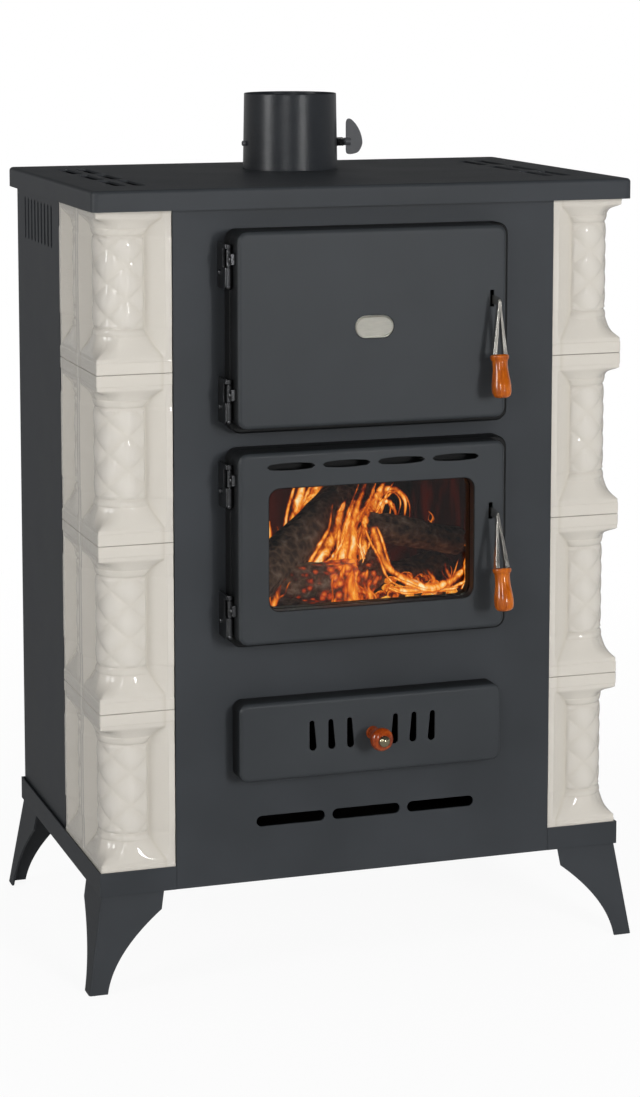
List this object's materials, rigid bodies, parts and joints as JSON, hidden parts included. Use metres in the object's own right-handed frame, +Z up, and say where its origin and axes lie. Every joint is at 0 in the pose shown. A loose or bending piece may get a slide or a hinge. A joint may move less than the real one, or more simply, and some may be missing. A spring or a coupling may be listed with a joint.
{
  "type": "tiled stove",
  "caption": "Tall wood stove with an oven above a glazed fire door, an ash drawer, a top flue outlet, splayed legs and columns of glazed tiles at its front corners.",
  "frame": {"origin": "centre of the bounding box in plan, on the floor under the feet", "axes": "+X to the right seen from the front, +Y to the back, +Z up"},
  "size_m": [0.7674, 0.6073, 1.1495],
  "materials": {
    "painted_steel": "satin anthracite stove paint",
    "ceramic": "glossy cream glaze",
    "inner_steel": "dull black, heat stained",
    "cast_iron": "rough cast",
    "firebrick": "dull",
    "enamel": "glossy enamel",
    "glass": "clear",
    "rope": "woven glass fibre rope",
    "hinge_steel": "bare grey steel",
    "chrome": "polished",
    "wood": "glossy orange-brown varnish",
    "brass": "polished"
  },
  "bodies": {
    "body": {"base_tray": "painted_steel", "leg_front_left": "painted_steel", "leg_front_right": "painted_steel", "leg_back_left": "painted_steel", "leg_back_right": "painted_steel", "front_panel": "painted_steel", "side_panel_left": "painted_steel", "side_panel_right": "painted_steel", "back_panel": "painted_steel", "top_plate": "painted_steel", "body_shell": "inner_steel", "oven_box": "enamel", "oven_rack": "chrome", "firebrick_left": "firebrick", "firebrick_right": "firebrick", "firebrick_back": "firebrick", "fire_grate": "cast_iron", "flue_spigot": "painted_steel", "corner_tile_left_1": "ceramic", "side_tile_left_1": "ceramic", "corner_tile_left_2": "ceramic", "side_tile_left_2": "ceramic", "corner_tile_left_3": "ceramic", "side_tile_left_3": "ceramic", "corner_tile_left_4": "ceramic", "side_tile_left_4": "ceramic", "corner_tile_right_1": "ceramic", "side_tile_right_1": "ceramic", "corner_tile_right_2": "ceramic", "side_tile_right_2": "ceramic", "corner_tile_right_3": "ceramic", "side_tile_right_3": "ceramic", "corner_tile_right_4": "ceramic", "side_tile_right_4": "ceramic", "oven_door_frame": "painted_steel", "oven_door_hinge_lower_fixed": "hinge_steel", "oven_door_hinge_upper_fixed": "hinge_steel", "fire_door_frame": "painted_steel", "fire_door_hinge_lower_fixed": "hinge_steel", "fire_door_hinge_upper_fixed": "hinge_steel"},
    "oven_door": {"oven_door_cover": "painted_steel", "oven_door_liner": "inner_steel", "oven_door_hinge_lower_moving": "hinge_steel", "oven_door_hinge_upper_moving": "hinge_steel"},
    "oven_door_handle": {"oven_door_latch": "chrome", "oven_door_grip": "wood"},
    "fire_door": {"fire_door_cover": "painted_steel", "fire_door_liner": "inner_steel", "fire_door_hinge_lower_moving": "hinge_steel", "fire_door_hinge_upper_moving": "hinge_steel", "fire_door_glass": "glass", "fire_door_seal": "rope"},
    "fire_door_handle": {"fire_door_latch": "chrome", "fire_door_grip": "wood"},
    "ash_drawer": {"ash_drawer_front": "painted_steel", "ash_pan": "inner_steel", "ash_drawer_knob": "wood", "ash_drawer_knob_screw": "brass"},
    "damper": {"damper": "inner_steel", "damper_spring": "hinge_steel"}
  },
  "joints": [
    {"name": "oven_door_hinge", "type": "hinge", "parent": "body", "child": "oven_door", "pos_m": [-0.198, -0.21382, 0.8656], "axis": [0, 0, -1], "range_deg": [0, 110]},
    {"name": "oven_door_handle_lift", "type": "hinge", "parent": "oven_door", "child": "oven_door_handle", "pos_m": [0.15, -0.23282, 0.8976], "axis": [-1, 0, 0], "range_deg": [0, 30]},
    {"name": "fire_door_hinge", "type": "hinge", "parent": "body", "child": "fire_door", "pos_m": [-0.198, -0.21382, 0.5841], "axis": [0, 0, -1], "range_deg": [0, 110]},
    {"name": "fire_door_handle_lift", "type": "hinge", "parent": "fire_door", "child": "fire_door_handle", "pos_m": [0.15, -0.23282, 0.6176], "axis": [-1, 0, 0], "range_deg": [0, 30]},
    {"name": "ash_drawer_slide", "type": "slide", "parent": "body", "child": "ash_drawer", "axis": [0, -1, 0], "range_m": [0, 0.28]},
    {"name": "damper_turn", "type": "hinge", "parent": "body", "child": "damper", "pos_m": [0, 0.14918, 1.08], "axis": [1, 0, 0], "range_deg": [0, 90]}
  ]
}
